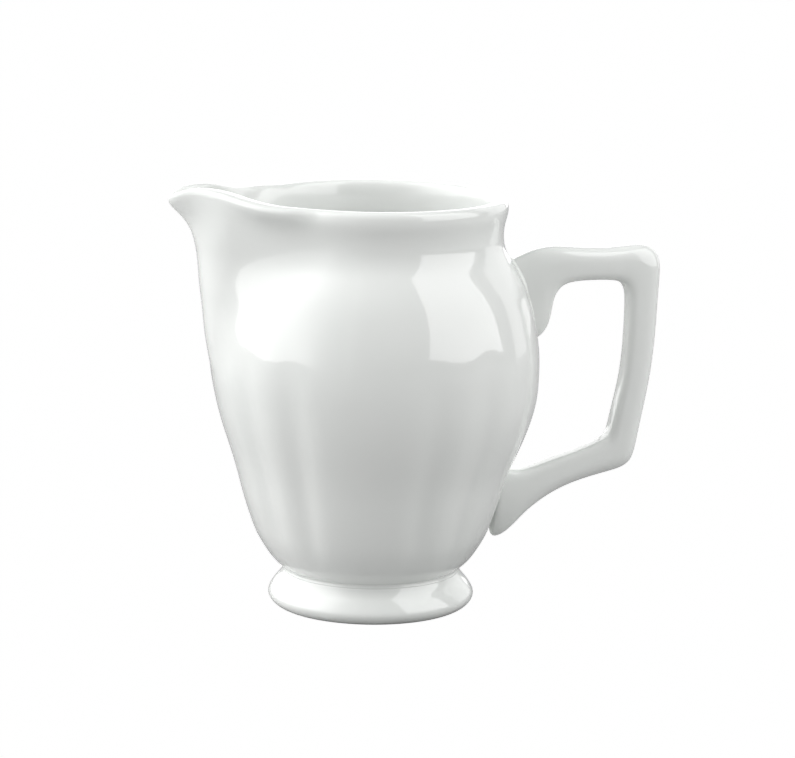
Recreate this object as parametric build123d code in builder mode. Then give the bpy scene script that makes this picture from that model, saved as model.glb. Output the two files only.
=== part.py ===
"""Porcelain cream jug: a lobed slip-cast body with a pulled spout, a foot ring and an angular handle.

The frame: millimetres, +Z up, the origin at the middle of the standing ring, on the table's surface.
The spout points along -X and the handle along +X.
"""

from build123d import *
import os
from math import cos, exp, radians, sin

# ---- driving dimensions ----
RIM_HEIGHT = 100.0  # the plane of the lip away from the spout
WALL = 3.1  # fired wall of the body
SEAM_HEIGHT = 9.2  # where the body is stuck on its foot ring
SEAM_RADIUS = 21.3
FLOOR_HEIGHT = 13.4  # top of the body's floor
FLOOR_FILL = 5.0  # the wall is this much thicker where it meets the floor ...
CORNER_TOP = 20.0  # ... easing away up to here

SLIP_GAP = 0.5  # layer of slip between two pieces
SLIP_BEAD = 0.9  # how far the slip spreads around the handle's ends

GROOVE_STEP = 72.0  # five ribs, with a wide panel between each two
GROOVE_ANGLE = 10.7  # from a rib's middle to the groove at each side of it
GROOVE_SPREAD = 5.0

STANDING_RADIUS = 21.9  # middle of the ground ring that touches the table
STANDING_WIDTH = 2.0
RECESS_RADIUS = 18.0  # the hollow under the foot
FOOT_RADIUS = 25.1

HANDLE_WIDTH = 8.0  # across, along Y
HANDLE_EDGE = 2.4  # rounding of its long edges

# The body's wall by height: (height, radius, groove depth, share of the throat, share of the beak)
BODY_ROWS = (
    (SEAM_HEIGHT, SEAM_RADIUS, 0.0, 0.0, 0.0),
    (13.0, 25.2, 0.1, 0.0, 0.0),
    (18.0, 28.3, 0.4, 0.0, 0.0),
    (27.0, 31.5, 0.7, 0.0, 0.0),
    (38.0, 35.1, 0.75, 0.0, 0.0),
    (49.0, 38.4, 0.7, 0.0, 0.0),
    (59.0, 39.8, 0.5, 0.03, 0.0),
    (69.0, 39.0, 0.15, 0.50, 0.0),
    (78.0, 36.4, 0.0, 0.80, 0.0),
    (84.5, 33.0, 0.0, 0.92, 0.0),
    (90.0, 30.8, 0.0, 1.0, 0.0),
    (94.0, 31.1, 0.0, 1.0, 0.30),
    (98.0, 31.8, 0.0, 1.0, 0.85),
    (101.0, 31.6, 0.0, 1.0, 0.98),
    (106.0, 31.6, 0.0, 1.0, 0.92),
)
SECTION_COUNT = 30  # sections that shape the wall between the seam and the lip

# Half of the spout in plan, from its middle round to the neck: (angle on the round neck, throat, beak).
# The throat is the rounded channel at the neck and the beak is the pointed lip above it, each as
# (reach, half width).
SPOUT_PLAN = (
    (0.0, (44.0, 0.0), (50.6, 0.0)),
    (4.5, (43.6, 3.6), (48.8, 2.2)),
    (9.5, (42.5, 7.2), (45.0, 4.2)),
    (15.0, (40.5, 10.8), (41.6, 7.4)),
    (21.0, (37.6, 14.2), (38.8, 12.0)),
    (28.0, (33.8, 17.0), (35.4, 16.8)),
    (36.0, (28.6, 19.4), (29.4, 19.8)),
    (44.0, (22.6, 21.4), (22.9, 21.6)),
)

# Where the rest of a section has its points, in degrees from the spout round to the handle
ROUND_ANGLES = (
    54.0, 63.0, 72.0, 81.0, 90.0, 97.3, 108.0, 118.7, 126.0, 135.0, 144.0, 153.0, 162.0, 169.3, 180.0,
)  # fmt: skip

# The lip in side view, from where it is level to past the spout's tip: (x, height)
LIP_LINE = (
    (-20.0, RIM_HEIGHT), (-30.0, 100.8), (-38.0, 102.5), (-43.0, 103.0), (-47.0, 102.2), (-52.0, 98.6),
)  # fmt: skip
LIP_END_SLOPES = ((-1, 0), (-0.7, -0.7))
# The space above the lip that is cut away: how far it reaches in front, behind and up, and its lowest point
TRIM_FRONT = -75.0
TRIM_BACK = 50.0
TRIM_TOP = 120.0
TRIM_BOTTOM = 90.0

# The foot in section, from its seat out to the standing ring, and back up inside: (radius, height)
FOOT_FLARE = ((22.3, 7.0), (24.1, 4.6), (FOOT_RADIUS, 2.8), (24.5, 1.1))
FOOT_HOLLOW = ((19.4, 1.2), (18.3, 4.5))
# The slip smoothed into the hollow: how far in at the top, half way and how far down at the side
SLIP_FILLET = 1.4
SLIP_MIDDLE = (0.5, 0.4)
SLIP_DOWN = 1.2

# The handle in side view, as (x, height): its outside, from the root at the top to the lower end's tip
HANDLE_OUTSIDE = (
    (33.5, 83.6), (36.3, 84.5), (39.2, 86.1), (45.3, 86.9), (53.0, 86.4), (61.0, 86.4), (66.0, 86.9),
    (69.8, 85.9), (71.9, 82.3), (71.6, 76.0), (71.3, 68.0), (70.6, 59.0), (68.9, 48.5), (67.0, 40.0),
    (65.9, 34.5), (64.9, 32.0), (62.4, 30.7), (54.6, 28.9), (48.4, 26.9), (42.3, 23.7), (37.0, 19.7),
    (33.6, 16.2), (29.5, 14.2),
)  # fmt: skip
# ... and its side towards the body, from the lower end round the finger gap to the drop at the top
HANDLE_INSIDE = (
    (34.0, 32.6), (36.8, 31.1), (47.0, 34.1), (53.0, 36.0), (57.2, 37.5), (59.4, 38.9), (60.3, 41.6),
    (62.3, 50.0), (63.8, 57.5), (64.2, 66.0), (64.3, 74.6), (63.4, 77.3), (60.6, 78.1), (54.6, 78.2),
    (48.6, 78.2), (45.3, 76.4), (44.1, 72.5), (44.1, 69.0), (43.2, 66.0), (40.0, 63.0),
)  # fmt: skip
INSIDE_BODY = 26.0  # both ends are drawn this far in and then trimmed to the wall


def row_at(height):
    """The body's row at any height, on smooth curves through the rows above."""
    index = max(i for i, row in enumerate(BODY_ROWS[:-1]) if row[0] <= height)
    low, high = BODY_ROWS[index], BODY_ROWS[index + 1]
    before, after = BODY_ROWS[max(index - 1, 0)], BODY_ROWS[min(index + 2, len(BODY_ROWS) - 1)]
    span = high[0] - low[0]
    t = (height - low[0]) / span
    values = []
    for v0, v1, v2, v3 in zip(before[1:], low[1:], high[1:], after[1:]):
        slope_low = (v2 - v0) / (high[0] - before[0]) * span
        slope_high = (v3 - v1) / (after[0] - low[0]) * span
        ease = t * t * (3.0 - 2.0 * t)
        bend = slope_low * t * (1.0 - t) ** 2 - slope_high * t * t * (1.0 - t)
        values.append(v1 + (v2 - v1) * ease + bend)
    return (height, *values)


def wall_at(angle, radius, depth):
    """The round wall's radius at this angle from the spout: a soft groove at each side of every rib."""
    from_rib = angle % GROOVE_STEP - GROOVE_STEP / 2.0
    return radius - depth * exp(-(((abs(from_rib) - GROOVE_ANGLE) / GROOVE_SPREAD) ** 2))


def section_points(row, inset):
    """One closed wall section, moved inwards by inset, starting at the spout."""
    height, radius, depth, throat_share, beak_share = row
    half = []
    for angle, throat, beak in SPOUT_PLAN:
        wall = wall_at(angle, radius, depth)
        home = (wall * cos(radians(angle)), wall * sin(radians(angle)))
        reach, half_width = (
            h + throat_share * (t - h) + beak_share * (b - t) for h, t, b in zip(home, throat, beak)
        )
        shrink = 1.0 - inset / (reach**2 + half_width**2) ** 0.5
        half.append((-reach * shrink, half_width * shrink))
    for angle in ROUND_ANGLES:
        wall = wall_at(angle, radius, depth) - inset
        half.append((-wall * cos(radians(angle)), wall * sin(radians(angle))))
    return half + [(x, -y) for x, y in reversed(half[1:-1])]


def wall_sketch(row, inset):
    """The face of one wall section at its height, with its curve spaced by angle like every other."""
    half_turn = [angle for angle, _, _ in SPOUT_PLAN] + list(ROUND_ANGLES)
    whole_turn = half_turn + [360.0 - angle for angle in reversed(half_turn[:-1])]
    with BuildSketch(Plane.XY.offset(row[0])) as section:
        with BuildLine():
            add(Edge.make_spline(section_points(row, inset), periodic=True, parameters=whole_turn))
        make_face()
    return section.sketch


def wall_form(lowest, inset, floor_fill=0.0):
    """A solid as wide as the wall moved inwards by inset, from a height up to above the lip.

    floor_fill draws it in further towards the floor, where the wall turns into the bottom.
    """
    rise = (BODY_ROWS[-1][0] - lowest) / SECTION_COUNT
    sections = []
    for step in range(SECTION_COUNT + 1):
        height = lowest + rise * step
        corner = max(0.0, (CORNER_TOP - height) / (CORNER_TOP - FLOOR_HEIGHT))
        sections.append(wall_sketch(row_at(height), inset + floor_fill * corner**2))
    return loft(sections, mode=Mode.PRIVATE)


# ---- body: the cast vessel, its wall and floor, trimmed to the lip's line ----
outer_form = wall_form(SEAM_HEIGHT, 0.0)
inner_form = wall_form(FLOOR_HEIGHT, WALL, FLOOR_FILL)

with BuildPart() as body:
    add(outer_form)
    add(inner_form, mode=Mode.SUBTRACT)
    with BuildSketch(Plane.XZ) as above_the_lip:
        with BuildLine():
            lip = Spline(*LIP_LINE, tangents=LIP_END_SLOPES)
            Polyline(
                lip @ 1, (TRIM_FRONT, TRIM_BOTTOM), (TRIM_FRONT, TRIM_TOP), (TRIM_BACK, TRIM_TOP),
                (TRIM_BACK, RIM_HEIGHT), lip @ 0,
            )  # fmt: skip
        make_face()
    extrude(amount=TRIM_BACK, both=True, mode=Mode.SUBTRACT)
body.part.label = "body"

# ---- foot: the pedestal ring, hollow beneath, with a ground ring that stands on the table ----
seat_height = SEAM_HEIGHT - SLIP_GAP
with BuildPart() as foot:
    with BuildSketch(Plane.XZ):
        with BuildLine():
            inside = STANDING_RADIUS - STANDING_WIDTH / 2
            outside = STANDING_RADIUS + STANDING_WIDTH / 2
            Spline((SEAM_RADIUS, seat_height), *FOOT_FLARE, (outside, 0.0))
            Line((outside, 0.0), (inside, 0.0))
            Spline((inside, 0.0), *FOOT_HOLLOW, (RECESS_RADIUS, seat_height))
            Line((RECESS_RADIUS, seat_height), (SEAM_RADIUS, seat_height))
        make_face()
    revolve(axis=Axis.Z)
foot.part.label = "foot"

# ---- foot_slip: the ring of slip that holds the foot on, smoothed into the recess ----
with BuildPart() as foot_slip:
    with BuildSketch(Plane.XZ):
        with BuildLine():
            slip_top = (RECESS_RADIUS - SLIP_FILLET, SEAM_HEIGHT)
            slip_middle = (RECESS_RADIUS - SLIP_MIDDLE[0], seat_height - SLIP_MIDDLE[1])
            slip_bottom = (RECESS_RADIUS, seat_height - SLIP_DOWN)
            Polyline((SEAM_RADIUS, seat_height), (SEAM_RADIUS, SEAM_HEIGHT), slip_top)
            ThreePointArc(slip_top, slip_middle, slip_bottom)
            Polyline(slip_bottom, (RECESS_RADIUS, seat_height), (SEAM_RADIUS, seat_height))
        make_face()
    revolve(axis=Axis.Z)
foot_slip.part.label = "foot_slip"


def handle_outline():
    """The handle in side view, reaching into the body at both ends."""
    with BuildSketch() as outline:
        with BuildLine():
            for side, next_side in ((HANDLE_OUTSIDE, HANDLE_INSIDE), (HANDLE_INSIDE, HANDLE_OUTSIDE)):
                Spline(*side)
                Polyline(
                    side[-1], (INSIDE_BODY, side[-1][1]), (INSIDE_BODY, next_side[0][1]), next_side[0],
                )  # fmt: skip
        make_face()
    return outline.sketch_local


# ---- handle: cast on its own, with rounded long edges, cut to fit the body's wall ----
slip_face = wall_form(SEAM_HEIGHT, -SLIP_GAP)
with BuildPart() as handle:
    with BuildSketch(Plane.XZ.offset(-HANDLE_WIDTH / 2)):
        add(handle_outline())
    extrude(amount=HANDLE_WIDTH)
    sides = handle.edges().group_by(Axis.Y)
    fillet(sides[0] + sides[-1], HANDLE_EDGE)
    add(slip_face, mode=Mode.SUBTRACT)
handle.part.label = "handle"


def slip_joint(low, high):
    """The layer of slip between the wall and one end of the handle, spread a little past it all round."""
    with BuildPart() as joint:
        with BuildSketch(Plane.YZ.offset(INSIDE_BODY - 2 * SLIP_BEAD)):
            with Locations((0.0, (low + high) / 2)):
                RectangleRounded(HANDLE_WIDTH + 2 * SLIP_BEAD, high - low + 2 * SLIP_BEAD, HANDLE_EDGE)
        extrude(amount=HANDLE_WIDTH * 3)
        add(slip_face, mode=Mode.INTERSECT)
        add(outer_form, mode=Mode.SUBTRACT)
    return joint


# ---- upper_handle_slip and lower_handle_slip: the slip that holds each end of the handle on ----
upper_handle_slip = slip_joint(HANDLE_INSIDE[-1][1], HANDLE_OUTSIDE[0][1])
upper_handle_slip.part.label = "upper_handle_slip"
lower_handle_slip = slip_joint(HANDLE_OUTSIDE[-1][1], HANDLE_INSIDE[0][1])
lower_handle_slip.part.label = "lower_handle_slip"

os.makedirs("parts", exist_ok=True)
for piece in (body, foot, foot_slip, handle, upper_handle_slip, lower_handle_slip):
    export_step(piece.part, f"parts/{piece.part.label}.step")
    print(piece.part.label, round(piece.part.volume), len(piece.part.solids()))
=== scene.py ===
import math

import bmesh
import bpy
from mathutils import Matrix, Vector


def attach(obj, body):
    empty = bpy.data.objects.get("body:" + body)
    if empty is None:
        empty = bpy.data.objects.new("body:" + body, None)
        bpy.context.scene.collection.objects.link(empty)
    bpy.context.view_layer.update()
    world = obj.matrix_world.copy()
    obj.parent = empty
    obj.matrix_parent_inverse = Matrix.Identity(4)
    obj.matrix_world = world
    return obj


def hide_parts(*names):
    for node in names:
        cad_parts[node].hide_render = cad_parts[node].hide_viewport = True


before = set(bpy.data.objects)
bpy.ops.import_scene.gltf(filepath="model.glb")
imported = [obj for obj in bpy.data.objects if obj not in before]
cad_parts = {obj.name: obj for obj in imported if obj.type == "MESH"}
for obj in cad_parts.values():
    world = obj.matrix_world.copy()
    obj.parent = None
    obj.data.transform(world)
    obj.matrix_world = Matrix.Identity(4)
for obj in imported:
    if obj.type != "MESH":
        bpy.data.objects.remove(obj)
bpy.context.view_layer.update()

# ---------------------------------------------------------------------------------------------
# The body. One slip-cast porcelain wall about 3 mm thick: five flat panels with a narrow rib
# between each two, a drawn-in neck, a rolled lip, and a spout pulled out of the front panel.
# It was cast in a mould, fettled, and glazed inside and out.
# ---------------------------------------------------------------------------------------------
MM = 0.001
COLUMNS = 216

# height, radius at a rib, groove depth, how far the spout's throat stands back, share of the beak
OUTSIDE = [
    (9.2, 21.2, 0, 40, 0), (10.0, 22.3, 0, 40, 0), (11.4, 23.9, 0.05, 40, 0),
    (13, 25.2, 0.1, 40, 0), (15, 26.5, 0.2, 40, 0), (18, 28.2, 0.4, 40, 0), (22, 29.7, 0.6, 38, 0),
    (27, 31.3, 0.7, 30, 0), (33, 33.0, 0.75, 21, 0), (38, 34.8, 0.75, 15, 0),
    (43, 36.7, 0.75, 11, 0), (49, 38.5, 0.7, 8.2, 0), (54, 39.4, 0.62, 5.8, 0),
    (60, 39.85, 0.45, 3.75, 0), (65, 39.6, 0.25, 2.9, 0), (70, 38.8, 0.1, 2.4, 0),
    (75, 37.5, 0.03, 1.95, 0), (79, 36.05, 0, 1.4, 0), (83, 33.9, 0, 1.1, 0),
    (86, 31.95, 0, 0.8, 0), (88, 31.15, 0, 0.5, 0), (90, 30.8, 0, 0.1, 0.02),
    (92, 30.8, 0, 0, 0.13), (94, 31.1, 0, 0, 0.33), (95.6, 31.55, 0, 0, 0.56),
    (97, 31.8, 0, 0, 0.83), (98.2, 31.8, 0, 0, 0.97), (99.2, 31.8, 0, 0, 1), (100, 31.8, 0, 0, 1),
    (101, 31.8, 0, 0, 1),
]
INSIDE = [
    (18, 24.6, 0.2, 40, 0), (20.5, 25.6, 0.3, 39, 0), (25, 27.5, 0.5, 34, 0),
    (31, 29.3, 0.6, 24, 0), (38, 31.7, 0.6, 15, 0), (49, 35.3, 0.6, 8.2, 0),
    (60, 36.7, 0.35, 3.75, 0), (65, 36.5, 0.2, 2.9, 0), (70, 35.7, 0.08, 2.4, 0),
    (75, 34.4, 0, 1.95, 0), (79, 32.9, 0, 1.4, 0), (83, 30.8, 0, 1.1, 0), (86, 28.9, 0, 0.8, 0),
    (88, 28.05, 0, 0.5, 0), (91, 27.65, 0, 0, 0.04), (93, 27.7, 0, 0, 0.15),
    (95, 27.85, 0, 0, 0.35), (96.5, 28.0, 0, 0, 0.56), (98, 28.15, 0, 0, 0.80),
    (99.2, 28.2, 0, 0, 0.96), (100, 28.2, 0, 0, 1), (101, 28.2, 0, 0, 1),
]
# degrees from the spout's middle, then how far forward and how far to the side: throat, beak
SPOUT_OUTSIDE = [
    (0, 44.0, 0, 50.5, 0), (4.5, 43.6, 3.4, 48.9, 2.2), (9.5, 42.4, 6.6, 45.3, 4.6),
    (15, 40.2, 9.8, 42.0, 8.2), (21, 37.1, 12.8, 39.2, 12.8), (28, 33.3, 15.9, 35.6, 17.3),
    (36, 28.0, 18.6, 29.6, 20.4), (44, 22.3, 21.1, 23.1, 22.1), (52, 19.0, 24.3, 19.6, 25.1),
]
SPOUT_INSIDE = [
    (0, 40.9, 0, 48.3, 0), (4.5, 40.5, 3.3, 46.9, 1.0), (9.5, 39.5, 6.6, 43.7, 2.9),
    (15, 37.6, 9.6, 40.2, 5.9), (21, 35.0, 12.3, 37.1, 9.9), (28, 31.5, 14.6, 33.4, 14.3),
    (36, 26.6, 16.9, 27.8, 17.3), (44, 20.5, 19.3, 20.9, 19.7), (52, 17.3, 21.9, 17.4, 22.2),
]
SPOUT_ENDS = 52
NOSE_RADIUS = 14.5  # of the throat's rounded front, seen from above
BEAK_ROLL = 1.0  # how much later the beak's sides flare out than its tip
# how far the body leans towards the handle: height, lean
LEAN = [
    (9, 0), (28, 0), (34, 0.2), (40, 0.6), (46, 0.75), (52, 0.75), (57, 0.4), (63, 0.25), (70, 0),
    (101, 0),
]
# how far forward along the lip, and how far the lip rises there above the rest of the rim
LIP_RISE = [
    (0, 0), (20, 0.05), (24, 0.26), (28, 0.5), (32, 1.0), (36, 1.95), (39, 2.75), (42, 3.1),
    (44.5, 3.0), (46.5, 2.5), (48.3, 1.7), (49.5, 0.9), (50.5, 0.1), (52, 0),
]
RIM = 100.0
NECK = 90.0
LIP_DEPTH = 2.2
LIP_STARTS, LIP_FULL = 87, 98  # heights between which the wall comes to follow the rise of the lip
SPOUT_LIP_SHARE = 0.45  # the lip at the spout's tip, as a share of the lip round the neck
SPOUT_LIP_FROM, SPOUT_LIP_TO = 3, 44
LIP_MIDDLE = 0.6  # where the lip's own line lies, as a share of the outside over the inside
ROLL_FROM, ROLL_TO = 6, 20
BEAK_FADE = 12
# share of the way across the lip from outside to inside, and share of the lip's depth still to rise
LIP_ROLL = [
    (0.01, 0.74), (0.07, 0.42), (0.18, 0.18), (0.36, 0.03), (0.56, 0), (0.74, 0.07), (0.88, 0.28),
    (0.97, 0.62),
]
RIB_ANGLES = (36, 108, 180)
GROOVE_ANGLE = 10.7
GROOVE_SPREAD = 6.0


def bent_between(rows, place):
    """The numbers at a place between a list's rows, as a batten bent through them would lie."""
    last = len(rows) - 1
    at = 0
    while at < last - 1 and rows[at + 1][0] < place:
        at += 1
    near, far = rows[at], rows[at + 1]
    before, after = rows[max(at - 1, 0)], rows[min(at + 2, last)]
    span = far[0] - near[0]
    t = min(max((place - near[0]) / span, 0), 1)
    found = []
    for k in range(1, len(near)):
        leave = (far[k] - before[k]) / (far[0] - before[0]) * span
        arrive = (after[k] - near[k]) / (after[0] - near[0]) * span
        found.append(
            near[k] * (1 + 2 * t) * (1 - t) ** 2 + leave * t * (1 - t) ** 2
            + far[k] * t * t * (3 - 2 * t) - arrive * t * t * (1 - t)
        )
    return found


def eased(value, start, end):
    """0 before start, 1 after end, and a soft S between them."""
    t = min(max((value - start) / (end - start), 0), 1)
    return t * t * (3 - 2 * t)


def groove_at(angle):
    """0 on a rib or in the middle of a panel, 1 in the groove beside a rib."""
    nearest = min(abs(angle - rib) for rib in RIB_ANGLES)
    return math.exp(-(((nearest - GROOVE_ANGLE) / GROOVE_SPREAD) ** 2))


def drawn_out(radius, reach, nose, angle):
    """Reach of a round wall with a nose pulled out of it: nose and wall joined by a flat flank."""
    middle = reach - nose
    if reach <= radius:
        return radius
    flank = math.acos((radius - nose) / middle)
    if angle >= flank:
        return radius
    if angle > math.atan2(nose * math.sin(flank), middle + nose * math.cos(flank)):
        return radius / math.cos(flank - angle)
    return middle * math.cos(angle) + math.sqrt(nose * nose - (middle * math.sin(angle)) ** 2)


def plan_point(side, spout, angle, height):
    """Forward and sideways place of the wall at this many degrees from the spout's middle."""
    radius, groove, back, beak = bent_between(side, height)
    a = abs(angle)
    nose = NOSE_RADIUS + spout[0][1] - SPOUT_OUTSIDE[0][1]
    radius = drawn_out(radius, spout[0][1] - back, nose, math.radians(a)) - groove * groove_at(a)
    forward, sideways = radius * math.cos(math.radians(a)), radius * math.sin(math.radians(a))
    if a < SPOUT_ENDS:
        throat_f, throat_s, beak_f, beak_s = bent_between(spout, a)
        beak = min(max(beak, 0), 1) ** (1 + BEAK_ROLL * eased(a, ROLL_FROM, ROLL_TO))
        beak *= 1 - eased(a, SPOUT_ENDS - BEAK_FADE, SPOUT_ENDS)
        forward += (beak_f - throat_f) * beak
        sideways += (beak_s - throat_s) * beak
    return forward - bent_between(LEAN, height)[0], math.copysign(sideways, angle)


def wall_place(forward, sideways, height):
    """A place in the jug's own frame: the spout points along -X."""
    return Vector((-forward, sideways, height)) * MM


def lip_share(angle):
    """How thick and deep the lip is here: whole round the neck, thinner along the beak."""
    whole = eased(abs(angle), SPOUT_LIP_FROM, SPOUT_LIP_TO)
    return SPOUT_LIP_SHARE + (1 - SPOUT_LIP_SHARE) * whole


def lip_rise(angle):
    """How far the lip stands above the rest of the rim here."""
    outer = plan_point(OUTSIDE, SPOUT_OUTSIDE, angle, RIM)
    inner = plan_point(INSIDE, SPOUT_INSIDE, angle, RIM)
    forward = outer[0] * LIP_MIDDLE + inner[0] * (1 - LIP_MIDDLE)
    return bent_between(LIP_RISE, max(forward, 0))[0]


def raised(angle, height):
    """The rows near the rim follow the lip up over the spout."""
    if height > NECK:
        room = RIM - NECK - LIP_DEPTH
        height = NECK + (height - NECK) * (RIM - NECK - LIP_DEPTH * lip_share(angle)) / room
    return height


def body_ring(kind, value):
    """One function from column angle to place, for one ring of the body."""
    def outside(angle):
        height = raised(angle, value)
        risen = height + lip_rise(angle) * eased(height, LIP_STARTS, LIP_FULL)
        return wall_place(*plan_point(OUTSIDE, SPOUT_OUTSIDE, angle, height), risen)

    def inside(angle):
        height = raised(angle, value)
        risen = height + lip_rise(angle) * eased(height, LIP_STARTS, LIP_FULL)
        return wall_place(*plan_point(INSIDE, SPOUT_INSIDE, angle, height), risen)

    def lip(angle):
        across, below = value
        top = RIM - LIP_DEPTH * lip_share(angle) * below
        outer = plan_point(OUTSIDE, SPOUT_OUTSIDE, angle, top)
        inner = plan_point(INSIDE, SPOUT_INSIDE, angle, top)
        forward = outer[0] + (inner[0] - outer[0]) * across
        sideways = outer[1] + (inner[1] - outer[1]) * across
        return wall_place(forward, sideways, top + lip_rise(angle))

    def flat(angle):
        radius, height = value
        turn = math.radians(angle)
        return wall_place(radius * math.cos(turn), radius * math.sin(turn), height)

    return {"outside": outside, "inside": inside, "lip": lip, "flat": flat}[kind]


UNDERSIDE = [(3, 9.35), (7, 9.3), (12, 9.2), (16, 9.05), (18.6, 8.95), (20.2, 8.95)]
FLOOR = [
    (24.0, 17.0), (22.9, 15.9), (21.2, 15.0), (18.6, 14.3), (15, 13.85), (11, 13.6), (7, 13.45),
    (3, 13.4),
]
OUTSIDE_ROWS = [
    9.2, 9.6, 10.2, 11, 12, 13.2, 14.6, 16.2, 18, 20, 22.5, 25, 28, 31, 34, 37, 40, 43, 46, 49, 52,
    55, 58, 61, 64, 67, 70, 72.5, 75, 77.5, 80, 82, 84, 85.5, 87, 88.5, 90, 91.5, 93, 94.4, 95.6,
    96.6, 97.3,
]
INSIDE_ROWS = [
    97.4, 96.2, 94.8, 93.2, 91.6, 90, 88.4, 86.8, 85.2, 83.4, 81, 78.5, 75.5, 72, 68, 64, 60, 56,
    52, 48, 44, 40, 36, 32, 28, 25, 22.5, 20.5, 18.6,
]
body_rings = [body_ring("flat", at) for at in UNDERSIDE]
body_rings += [body_ring("outside", height) for height in OUTSIDE_ROWS]
body_rings += [body_ring("lip", at) for at in LIP_ROLL]
body_rings += [body_ring("inside", height) for height in INSIDE_ROWS]
body_rings += [body_ring("flat", at) for at in FLOOR]


def start_piece(name):
    """The piece just added gets its name and is opened for modelling."""
    piece = bpy.context.object
    piece.name = name
    piece.data.name = name
    bpy.ops.object.mode_set(mode="EDIT")
    return piece


def close_piece(piece, smooth_levels):
    """Leaves edit mode, smooths the mesh, and makes the smoothing part of it."""
    bpy.ops.mesh.select_all(action="SELECT")
    bpy.ops.mesh.remove_doubles(threshold=0.00001)
    bpy.ops.mesh.normals_make_consistent(inside=False)
    bpy.ops.object.mode_set(mode="OBJECT")
    smoothing = piece.modifiers.new("smoothing", "SUBSURF")
    smoothing.levels = smooth_levels
    smoothing.render_levels = smooth_levels
    bpy.ops.object.modifier_apply(modifier=smoothing.name)
    bpy.ops.object.shade_smooth()


bpy.ops.object.select_all(action="DESELECT")
bpy.ops.mesh.primitive_circle_add(vertices=COLUMNS, radius=UNDERSIDE[0][0] * MM)
jug_body = start_piece("jug_body")
edit = bmesh.from_edit_mesh(jug_body.data)
column = edit.verts.layers.float.new("column")
for corner in edit.verts:
    corner[column] = math.degrees(math.atan2(corner.co.y, -corner.co.x))
    corner.co = body_rings[0](corner[column])
bpy.ops.mesh.select_mode(type="VERT")
bpy.ops.mesh.select_all(action="SELECT")
for ring in body_rings[1:]:
    bpy.ops.mesh.extrude_edges_move()
    edit = bmesh.from_edit_mesh(jug_body.data)
    column = edit.verts.layers.float["column"]
    for corner in edit.verts:
        if corner.select:  # only the ring just extruded
            corner.co = ring(corner[column])
close_piece(jug_body, 1)
bpy.ops.object.mode_set(mode="EDIT")
bpy.ops.mesh.select_all(action="DESELECT")
bpy.ops.mesh.select_non_manifold()
bpy.ops.mesh.fill_holes(sides=0)
bpy.ops.mesh.select_mode(type="FACE")
bpy.ops.mesh.select_all(action="DESELECT")
edit = bmesh.from_edit_mesh(jug_body.data)
for face in edit.faces:
    face.select_set(len(face.verts) > 4)  # the two round caps
bpy.ops.mesh.poke()
bpy.ops.object.mode_set(mode="OBJECT")
bpy.ops.object.shade_smooth()


WAVE_HEIGHT = 0.00035
QUICK_SHARE = 0.035
SPECKS_ABOVE = 0.66


def glaze_bump(nodes, links, shader, place):
    """The faint waves of a fired glaze: slow ones from casting, quick ones from the glaze's skin."""
    slow = nodes.new("ShaderNodeTexNoise")
    slow.inputs["Scale"].default_value = 42
    slow.inputs["Detail"].default_value = 1.5
    slow.inputs["Roughness"].default_value = 0.4
    quick = nodes.new("ShaderNodeTexNoise")
    quick.inputs["Scale"].default_value = 520
    quick.inputs["Detail"].default_value = 2
    both = nodes.new("ShaderNodeMath")
    both.operation = "MULTIPLY_ADD"
    both.inputs[1].default_value = QUICK_SHARE
    bump = nodes.new("ShaderNodeBump")
    bump.inputs["Strength"].default_value = 1.0
    bump.inputs["Distance"].default_value = WAVE_HEIGHT
    links.new(place, slow.inputs["Vector"])
    links.new(place, quick.inputs["Vector"])
    links.new(quick.outputs["Fac"], both.inputs[0])
    links.new(slow.outputs["Fac"], both.inputs[2])
    links.new(both.outputs[0], bump.inputs["Height"])
    links.new(bump.outputs["Normal"], shader.inputs["Normal"])
    links.new(bump.outputs["Normal"], shader.inputs["Coat Normal"])


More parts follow.
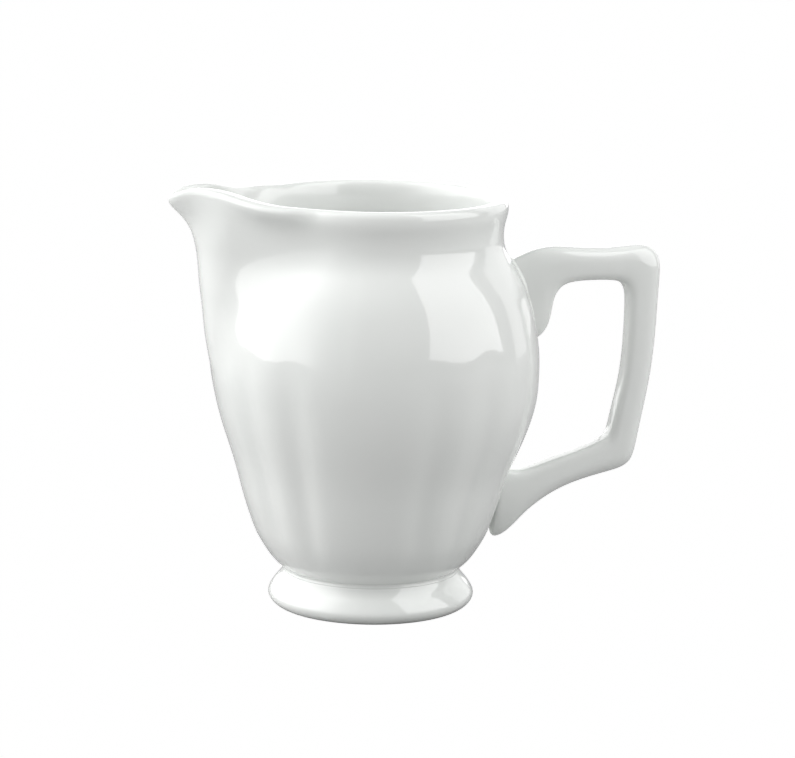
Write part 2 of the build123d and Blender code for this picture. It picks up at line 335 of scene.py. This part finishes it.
def glazed_porcelain(name, clay, pooled):
    """Clear glaze over white clay: a little cooler where it lies thick, with rare dark specks."""
    finish = bpy.data.materials.new(name)
    finish.use_nodes = True
    nodes, links = finish.node_tree.nodes, finish.node_tree.links
    shader = nodes["Principled BSDF"]
    shader.inputs["Roughness"].default_value = 0.16
    shader.inputs["IOR"].default_value = 1.45
    shader.inputs["Coat Weight"].default_value = 1.0
    shader.inputs["Coat Roughness"].default_value = 0.02
    shader.inputs["Coat IOR"].default_value = 1.5
    shader.inputs["Specular IOR Level"].default_value = 0.25
    place = nodes.new("ShaderNodeTexCoord").outputs["Object"]
    cloud = nodes.new("ShaderNodeTexNoise")
    cloud.inputs["Scale"].default_value = 26
    cloud.inputs["Detail"].default_value = 3
    clouded = nodes.new("ShaderNodeMapRange")
    clouded.inputs["From Min"].default_value = 0.3
    clouded.inputs["From Max"].default_value = 0.75
    tint = nodes.new("ShaderNodeMix")
    tint.data_type = "RGBA"
    tint.inputs["A"].default_value = clay
    tint.inputs["B"].default_value = pooled
    specks = nodes.new("ShaderNodeTexVoronoi")
    specks.inputs["Scale"].default_value = 95
    near_speck = nodes.new("ShaderNodeMapRange")
    near_speck.inputs["From Min"].default_value = 0.020
    near_speck.inputs["From Max"].default_value = 0.034
    near_speck.inputs["To Min"].default_value = 1
    near_speck.inputs["To Max"].default_value = 0
    rare = nodes.new("ShaderNodeTexNoise")
    rare.inputs["Scale"].default_value = 60
    is_rare = nodes.new("ShaderNodeMath")
    is_rare.operation = "GREATER_THAN"
    is_rare.inputs[1].default_value = SPECKS_ABOVE
    speck = nodes.new("ShaderNodeMath")
    speck.operation = "MULTIPLY"
    specked = nodes.new("ShaderNodeMix")
    specked.data_type = "RGBA"
    specked.inputs["B"].default_value = (0.25, 0.24, 0.21, 1)
    links.new(place, cloud.inputs["Vector"])
    links.new(cloud.outputs["Fac"], clouded.inputs["Value"])
    links.new(clouded.outputs["Result"], tint.inputs["Factor"])
    links.new(place, specks.inputs["Vector"])
    links.new(specks.outputs["Distance"], near_speck.inputs["Value"])
    links.new(place, rare.inputs["Vector"])
    links.new(rare.outputs["Fac"], is_rare.inputs[0])
    links.new(near_speck.outputs["Result"], speck.inputs[0])
    links.new(is_rare.outputs[0], speck.inputs[1])
    links.new(tint.outputs["Result"], specked.inputs["A"])
    links.new(speck.outputs[0], specked.inputs["Factor"])
    links.new(specked.outputs["Result"], shader.inputs["Base Color"])
    glaze_bump(nodes, links, shader, place)
    return finish


CLAY_WHITE = (0.835, 0.850, 0.832, 1)
POOLED_WHITE = (0.805, 0.828, 0.808, 1)
body_glaze = glazed_porcelain("body_glaze", CLAY_WHITE, POOLED_WHITE)
jug_body.data.materials.append(body_glaze)
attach(jug_body, "root")
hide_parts("body")

# ---------------------------------------------------------------------------------------------
# The foot. A separately turned porcelain ring, flared to a rounded edge and hollow underneath,
# luted under the body. Its narrow standing ring is wiped clean of glaze, so it is bare and matt.
# ---------------------------------------------------------------------------------------------
# round the section: radius, height
FOOT_OUTLINE = [
    (17.8, 8.9), (20.2, 9.1), (21.25, 9.0), (21.55, 8.4), (21.8, 7.8), (22.2, 7.1), (22.85, 6.3),
    (23.6, 5.5), (24.15, 4.7), (24.6, 4.0), (24.95, 3.3), (25.1, 2.7), (25.0, 2.0), (24.7, 1.4),
    (24.1, 0.75), (23.5, 0.3), (22.9, 0.04), (22.6, 0), (21.3, 0), (20.9, 0.05), (20.4, 0.5),
    (19.9, 1.3), (19.3, 2.6), (18.7, 4.2), (18.2, 6.0), (17.9, 7.6),
]
FOOT_STEPS = 144

bpy.ops.object.select_all(action="DESELECT")
bpy.ops.mesh.primitive_circle_add(vertices=len(FOOT_OUTLINE), radius=0.01)
jug_foot = start_piece("jug_foot")
edit = bmesh.from_edit_mesh(jug_foot.data)
edit.verts.ensure_lookup_table()
for corner, (radius, height) in zip(edit.verts, FOOT_OUTLINE):
    corner.co = Vector((radius, 0, height)) * MM
bmesh.update_edit_mesh(jug_foot.data)
bpy.ops.mesh.select_all(action="SELECT")
bpy.ops.mesh.spin(steps=FOOT_STEPS, angle=math.tau, center=(0, 0, 0), axis=(0, 0, 1))
close_piece(jug_foot, 1)

foot_glaze = glazed_porcelain("foot_glaze", CLAY_WHITE, POOLED_WHITE)
bare_clay = bpy.data.materials.new("bare_standing_ring")
bare_clay.use_nodes = True
nodes, links = bare_clay.node_tree.nodes, bare_clay.node_tree.links
shader = nodes["Principled BSDF"]
shader.inputs["Roughness"].default_value = 0.75
grain = nodes.new("ShaderNodeTexNoise")
grain.inputs["Scale"].default_value = 2600
grain.inputs["Detail"].default_value = 4
grain_tint = nodes.new("ShaderNodeMix")
grain_tint.data_type = "RGBA"
grain_tint.inputs["A"].default_value = (0.60, 0.58, 0.54, 1)
grain_tint.inputs["B"].default_value = (0.76, 0.75, 0.72, 1)
grain_bump = nodes.new("ShaderNodeBump")
grain_bump.inputs["Distance"].default_value = 0.00008
place = nodes.new("ShaderNodeTexCoord").outputs["Object"]
links.new(place, grain.inputs["Vector"])
links.new(grain.outputs["Fac"], grain_tint.inputs["Factor"])
links.new(grain_tint.outputs["Result"], shader.inputs["Base Color"])
links.new(grain.outputs["Fac"], grain_bump.inputs["Height"])
links.new(grain_bump.outputs["Normal"], shader.inputs["Normal"])
jug_foot.data.materials.append(foot_glaze)
jug_foot.data.materials.append(bare_clay)
BARE_BELOW = 0.12
for face in jug_foot.data.polygons:
    if face.center.z < BARE_BELOW * MM:
        face.material_index = 1
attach(jug_foot, "root")
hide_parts("foot")

# The slip at the foot. A thin bead of liquid clay that joins foot and body, sponged to a crease.
FOOT_SLIP = [
    (20.9, 9.5), (21.5, 9.55), (21.42, 9.25), (21.40, 9.0), (21.50, 8.7), (21.70, 8.35),
    (20.9, 8.3),
]
bpy.ops.object.select_all(action="DESELECT")
bpy.ops.mesh.primitive_circle_add(vertices=len(FOOT_SLIP), radius=0.01)
foot_slip = start_piece("foot_slip_bead")
edit = bmesh.from_edit_mesh(foot_slip.data)
edit.verts.ensure_lookup_table()
for corner, (radius, height) in zip(edit.verts, FOOT_SLIP):
    corner.co = Vector((radius, 0, height)) * MM
bmesh.update_edit_mesh(foot_slip.data)
bpy.ops.mesh.select_all(action="SELECT")
bpy.ops.mesh.spin(steps=FOOT_STEPS, angle=math.tau, center=(0, 0, 0), axis=(0, 0, 1))
close_piece(foot_slip, 1)
slip_glaze = glazed_porcelain("slip_glaze", POOLED_WHITE, CLAY_WHITE)
foot_slip.data.materials.append(slip_glaze)
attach(foot_slip, "root")
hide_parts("foot_slip")

# ---------------------------------------------------------------------------------------------
# The handle. A solid porcelain bar pressed in its own mould and bent square: crowned outside,
# flat inside with soft edges, a raised outer corner, a drop below its upper root and a small
# curl at its lower end. Both ends are luted to the rib opposite the spout.
# ---------------------------------------------------------------------------------------------
# outer point (along X, height), inner point (along X, height), half widths outside and inside
HANDLE_SECTIONS = [
    (32.0, 81.5, 37.4, 64.6, 3.6, 2.2), (34.6, 83.9, 40.2, 63.7, 3.8, 2.4),
    (36.6, 84.7, 42.0, 64.9, 3.9, 2.7), (38.9, 85.75, 43.4, 66.9, 4.0, 2.9),
    (41.7, 86.5, 44.1, 69.8, 4.0, 3.0), (44.4, 86.85, 44.5, 73.4, 4.0, 3.1),
    (46.8, 86.85, 45.8, 76.5, 4.0, 3.3), (49.6, 86.65, 48.6, 78.0, 3.9, 3.5),
    (54.0, 86.4, 54.0, 78.25, 3.8, 3.6), (58.8, 86.3, 58.3, 78.2, 3.8, 3.6),
    (63.0, 86.6, 60.8, 77.95, 3.8, 3.6), (66.9, 87.1, 62.4, 77.2, 3.9, 3.6),
    (70.5, 86.1, 63.3, 75.9, 3.9, 3.6), (72.1, 82.9, 63.7, 74.3, 3.9, 3.6),
    (72.0, 78.6, 63.8, 72.2, 3.8, 3.6), (71.7, 74.0, 63.8, 69.8, 3.7, 3.6),
    (71.5, 68.0, 63.75, 66.0, 3.7, 3.6), (71.1, 61.5, 63.5, 60.0, 3.7, 3.6),
    (70.4, 55.0, 62.9, 54.2, 3.7, 3.6), (69.3, 48.6, 61.8, 49.0, 3.7, 3.6),
    (68.2, 43.2, 60.8, 44.6, 3.7, 3.6), (67.3, 38.4, 60.2, 41.7, 3.7, 3.6),
    (66.6, 34.6, 59.7, 39.9, 3.8, 3.7), (65.3, 31.9, 58.8, 38.9, 3.8, 3.7),
    (62.5, 30.6, 57.3, 38.0, 3.8, 3.7), (58.8, 29.8, 54.9, 37.1, 3.8, 3.7),
    (54.6, 28.8, 51.9, 36.0, 3.9, 3.8), (50.2, 27.5, 48.2, 34.9, 4.0, 3.9),
    (46.0, 25.7, 44.4, 33.7, 4.1, 4.0), (42.5, 23.6, 40.9, 32.5, 4.2, 4.1),
    (39.7, 21.5, 38.4, 31.9, 4.2, 4.1), (37.4, 19.3, 36.2, 31.7, 4.1, 4.1),
    (35.3, 17.0, 34.4, 32.1, 3.9, 4.0), (32.9, 15.0, 32.9, 32.1, 3.4, 3.9),
    (29.6, 14.2, 31.2, 31.2, 2.8, 3.6),
]
SECTION_POINTS = 28
OUTER_SQUARENESS = 2.15
INNER_SQUARENESS = 3.6
UPPER_GROOVE = (74.6, 1.7, 0.55)  # height, half its width and depth of the drop's waist
GROOVE_WITHIN = 47  # how far out from the axis the waist is found


def handle_section(section, around):
    """A point of one section: around runs from the outer side's middle, once round."""
    outer_x, outer_z, inner_x, inner_z, outer_half, inner_half = section
    turn = math.tau * around
    up, side = math.cos(turn), math.sin(turn)
    square = OUTER_SQUARENESS if up > 0 else INNER_SQUARENESS
    along = math.copysign(abs(up) ** (2 / square), up)
    across = math.copysign(abs(side) ** (2 / square), side)
    share = (1 - along) / 2
    x = outer_x + (inner_x - outer_x) * share
    z = outer_z + (inner_z - outer_z) * share
    half = outer_half + (inner_half - outer_half) * share
    height, spread, depth = UPPER_GROOVE
    if x < GROOVE_WITHIN:
        half -= depth * math.exp(-(((z - height) / spread) ** 2))
    return Vector((x, half * across, z)) * MM


bpy.ops.object.select_all(action="DESELECT")
bpy.ops.mesh.primitive_circle_add(vertices=SECTION_POINTS, radius=0.004, fill_type="TRIFAN")
jug_handle = start_piece("jug_handle")
edit = bmesh.from_edit_mesh(jug_handle.data)
around = edit.verts.layers.float.new("around")
rim_corners = [c for c in edit.verts if len(c.link_faces) == 2]
rim_corners.sort(key=lambda c: math.atan2(c.co.y, c.co.x))
for number, corner in enumerate(rim_corners):
    corner[around] = number / SECTION_POINTS
    corner.co = handle_section(HANDLE_SECTIONS[0], corner[around])
hub = next(c for c in edit.verts if len(c.link_faces) == SECTION_POINTS)
hub.co = sum((c.co for c in rim_corners), Vector()) / SECTION_POINTS
bpy.ops.mesh.select_mode(type="VERT")
bpy.ops.mesh.select_all(action="DESELECT")
bpy.ops.mesh.select_non_manifold()
for section in HANDLE_SECTIONS[1:]:
    bpy.ops.mesh.extrude_edges_move()
    edit = bmesh.from_edit_mesh(jug_handle.data)
    around = edit.verts.layers.float["around"]
    for corner in edit.verts:
        if corner.select:
            corner.co = handle_section(section, corner[around])
bpy.ops.mesh.extrude_edges_move()
bpy.ops.mesh.merge(type="CENTER")
close_piece(jug_handle, 2)
handle_glaze = glazed_porcelain("handle_glaze", CLAY_WHITE, POOLED_WHITE)
jug_handle.data.materials.append(handle_glaze)
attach(jug_handle, "root")
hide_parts("handle")

# The slip at the handle's two ends. Liquid clay squeezed out as the handle was pressed on, and
# wiped with a wet brush to a small hollow bead all round each joint.
BEAD_STEPS = 48
# how far out from the handle's side, and how far off the body's wall
BEAD = [
    (-0.5, 1.0), (0.0, 0.85), (0.22, 0.45), (0.55, 0.15), (1.05, -0.05), (0.9, -0.6), (-0.5, -0.6),
]
NEAR_RADIUS = 34  # about the wall's radius where the handle sits
SLOPE_STEP = 0.5


def rib_radius(sideways, height):
    """How far the outside of the body reaches along X, beside the rib that the handle sits on."""
    angle = 180 - math.degrees(math.asin(sideways / NEAR_RADIUS))
    forward, found = plan_point(OUTSIDE, SPOUT_OUTSIDE, angle, height)
    radius = math.hypot(forward, found)
    return math.sqrt(max(radius * radius - sideways * sideways, 0))


def slip_bead(name, section, node):
    """A ring of slip round one end of the handle, lying on the body's wall."""
    outline = []
    for step in range(BEAD_STEPS):
        place = handle_section(section, step / BEAD_STEPS) / MM
        outline.append((place.y, place.z))
    middle = sum(z for _, z in outline) / BEAD_STEPS
    bpy.ops.object.select_all(action="DESELECT")
    bpy.ops.mesh.primitive_circle_add(vertices=BEAD_STEPS, radius=0.01)
    bead = start_piece(name)
    edit = bmesh.from_edit_mesh(bead.data)
    number = edit.verts.layers.int.new("number")
    edit.verts.ensure_lookup_table()
    for corner in edit.verts:
        corner[number] = corner.index

    def place_row(row):
        out, off = BEAD[row]
        edit = bmesh.from_edit_mesh(bead.data)
        number = edit.verts.layers.int["number"]
        for corner in edit.verts:
            if not corner.select:
                continue
            at = corner[number]
            (y0, z0), (y1, z1), (y2, z2) = (outline[(at + k) % BEAD_STEPS] for k in (-1, 0, 1))
            tangent = Vector((y2 - y0, z2 - z0)).normalized()
            normal = Vector((tangent.y, -tangent.x))
            if normal.dot(Vector((y1, z1 - middle))) < 0:
                normal.negate()
            y, z = y1 + normal.x * out, z1 + normal.y * out
            above, below = rib_radius(y, z + SLOPE_STEP), rib_radius(y, z - SLOPE_STEP)
            slope = (above - below) / (2 * SLOPE_STEP)
            lean = math.hypot(1, slope)
            corner.co = Vector((rib_radius(y, z) + off / lean, y, z - off * slope / lean)) * MM

    bpy.ops.mesh.select_all(action="SELECT")
    place_row(0)
    for row in range(1, len(BEAD)):
        bpy.ops.mesh.extrude_edges_move()
        place_row(row)
    bpy.ops.mesh.select_all(action="DESELECT")
    bpy.ops.mesh.select_non_manifold()
    bpy.ops.mesh.bridge_edge_loops()
    close_piece(bead, 1)
    bead.data.materials.append(slip_glaze)
    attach(bead, "root")
    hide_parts(node)


UPPER_JOINT = (35.0, 83.9, 40.6, 64.0, 3.85, 2.5)
LOWER_JOINT = (31.4, 15.2, 33.6, 31.9, 3.3, 3.9)
slip_bead("upper_slip_bead", UPPER_JOINT, "upper_handle_slip")
slip_bead("lower_slip_bead", LOWER_JOINT, "lower_handle_slip")

# ---------------------------------------------------------------------------------------------
# The studio: a plain pale table, a curved scrim on the spout's side, a tall window-like panel in
# front on the handle's side, dim panels behind, and the camera a little above the rim.
# ---------------------------------------------------------------------------------------------
TABLE_SIZE = 30
TABLE_GREY = (0.36, 0.36, 0.36, 1)
PAPER_WHITE = (0.8, 0.8, 0.8, 1)
PAPER_BELOW = 0.0002
PAPER_GLOW = 0.95


def table_sheet(name, height, paint):
    """A wide flat sheet with a matt paint. Its shader comes back as well, for more settings."""
    bpy.ops.object.select_all(action="DESELECT")
    bpy.ops.mesh.primitive_plane_add(size=TABLE_SIZE, location=(0, 0, height))
    sheet = bpy.context.object
    sheet.name = name
    finish = bpy.data.materials.new(name + "_paint")
    finish.use_nodes = True
    shader = finish.node_tree.nodes["Principled BSDF"]
    shader.inputs["Base Color"].default_value = paint
    shader.inputs["Roughness"].default_value = 0.9
    shader.inputs["Specular IOR Level"].default_value = 0
    sheet.data.materials.append(finish)
    return sheet, shader


# the grey table top lights the jug from below, and the white paper on it is what is seen
table, _ = table_sheet("table", 0, TABLE_GREY)
table.visible_camera = False
paper, paper_paint = table_sheet("table_paper", -PAPER_BELOW, PAPER_WHITE)
paper_paint.inputs["Emission Color"].default_value = (1, 1, 1, 1)
paper_paint.inputs["Emission Strength"].default_value = PAPER_GLOW
paper.visible_diffuse = False
paper.visible_glossy = False


def plan_place(azimuth, distance):
    """A place on the table. Azimuth 0 is in front of the jug and 90 on the handle's side."""
    turn = math.radians(azimuth)
    return Vector((math.sin(turn) * distance, -math.cos(turn) * distance, 0))


def upright_panel(name, near, far, bottom, top, radiance):
    """A soft panel of light standing between two places on the table, facing the jug."""
    start, end = plan_place(*near), plan_place(*far)
    middle = (start + end) / 2 + Vector((0, 0, (bottom + top) / 2))
    along = (end - start).normalized()
    out = Vector((along.y, -along.x, 0))
    if out.dot(middle) < 0:
        out.negate()
    wide, tall = (end - start).length, top - bottom
    turns = out.to_track_quat("Z", "Y").to_euler()
    bpy.ops.object.light_add(type="AREA", location=middle, rotation=turns)
    light = bpy.context.object
    light.name = name
    light.data.shape = "RECTANGLE"
    light.data.size = wide
    light.data.size_y = tall
    light.data.energy = radiance * math.pi * wide * tall
    light.visible_camera = False


WALL_TOP = 1.0
# name, two edges (degrees round the jug, distance), height of the bottom and top, brightness
for panel in (
    ("window", (27, 1.0), (84, 1.5), 0.10, 2.3, 2.50),
    ("back_wall_spout_side", (-142, 1.2), (180, 1.2), 0, WALL_TOP, 1.74),
    ("back_wall_handle_side", (178, 1.2), (140, 1.2), 0, WALL_TOP, 1.47),
    ("side_wall", (138, 1.2), (100, 1.2), 0, WALL_TOP, 0.90),
):
    upright_panel(*panel)

# a curved scrim on the spout's side, brightest where it is nearest the lamp behind it
SCRIM_STEPS = 56
SCRIM_START, SCRIM_END = -28, -140
SCRIM_DISTANCE = 1.0
SCRIM_HEIGHT = 2.3
SCRIM_GLOW = 3.3
# share of the way round, share of the full glow
SCRIM_RAMP = [
    (0, 0.20), (0.08, 0.12), (0.16, 0.22), (0.24, 0.42), (0.40, 0.86), (0.56, 1.0), (0.73, 0.86),
    (0.91, 0.76),
]
bpy.ops.object.select_all(action="DESELECT")
bpy.ops.mesh.primitive_grid_add(x_subdivisions=SCRIM_STEPS, y_subdivisions=1, size=2)
scrim = bpy.context.object
scrim.name = "scrim"
for corner in scrim.data.vertices:
    share = (corner.co.x + 1) / 2
    up = Vector((0, 0, SCRIM_HEIGHT * (corner.co.y + 1) / 2))
    corner.co = plan_place(SCRIM_START + (SCRIM_END - SCRIM_START) * share, SCRIM_DISTANCE) + up
scrim_cloth = bpy.data.materials.new("scrim_cloth")
scrim_cloth.use_nodes = True
nodes, links = scrim_cloth.node_tree.nodes, scrim_cloth.node_tree.links
nodes.remove(nodes["Principled BSDF"])
glow = nodes.new("ShaderNodeEmission")
round_it = nodes.new("ShaderNodeSeparateXYZ")
ramp = nodes.new("ShaderNodeValToRGB")
strength = nodes.new("ShaderNodeMath")
strength.operation = "MULTIPLY"
strength.inputs[1].default_value = SCRIM_GLOW
stops = ramp.color_ramp.elements
while len(stops) < len(SCRIM_RAMP):
    stops.new(1.0)
for stop, (share, level) in zip(stops, SCRIM_RAMP):
    stop.position = share
    stop.color = (level, level, level, 1)
links.new(nodes.new("ShaderNodeTexCoord").outputs["UV"], round_it.inputs["Vector"])
links.new(round_it.outputs["X"], ramp.inputs["Fac"])
links.new(ramp.outputs["Color"], strength.inputs[0])
links.new(strength.outputs[0], glow.inputs["Strength"])
links.new(glow.outputs["Emission"], nodes["Material Output"].inputs["Surface"])
scrim.data.materials.append(scrim_cloth)
scrim.visible_camera = False

CEILING_HEIGHT = 1.36
CEILING_SIZE = 1.2
CEILING_GLOW = 0.30
ROOM_GLOW = 0.17
bpy.ops.object.light_add(type="AREA", location=(0, 0, CEILING_HEIGHT))
ceiling = bpy.context.object
ceiling.name = "ceiling"
ceiling.data.shape = "SQUARE"
ceiling.data.size = CEILING_SIZE
ceiling.data.energy = CEILING_GLOW * math.pi * CEILING_SIZE ** 2
ceiling.visible_camera = False

world = bpy.data.worlds.new("studio")
bpy.context.scene.world = world
world.use_nodes = True
world.node_tree.nodes["Background"].inputs["Color"].default_value = (1, 1, 1, 1)
world.node_tree.nodes["Background"].inputs["Strength"].default_value = ROOM_GLOW

CAMERA_PLACE = (-0.178055, -0.714138, 0.197)
CAMERA_TURNS = (79.0997, -0.8502, -14.2902)
camera_rotation = [math.radians(turn) for turn in CAMERA_TURNS]
bpy.ops.object.camera_add(location=CAMERA_PLACE, rotation=camera_rotation)
camera = bpy.context.object
camera.name = "camera"
camera.data.lens = 140.36
camera.data.sensor_width = 36
bpy.context.scene.camera = camera
bpy.context.scene.view_settings.view_transform = "Standard"

bpy.context.view_layer.update()
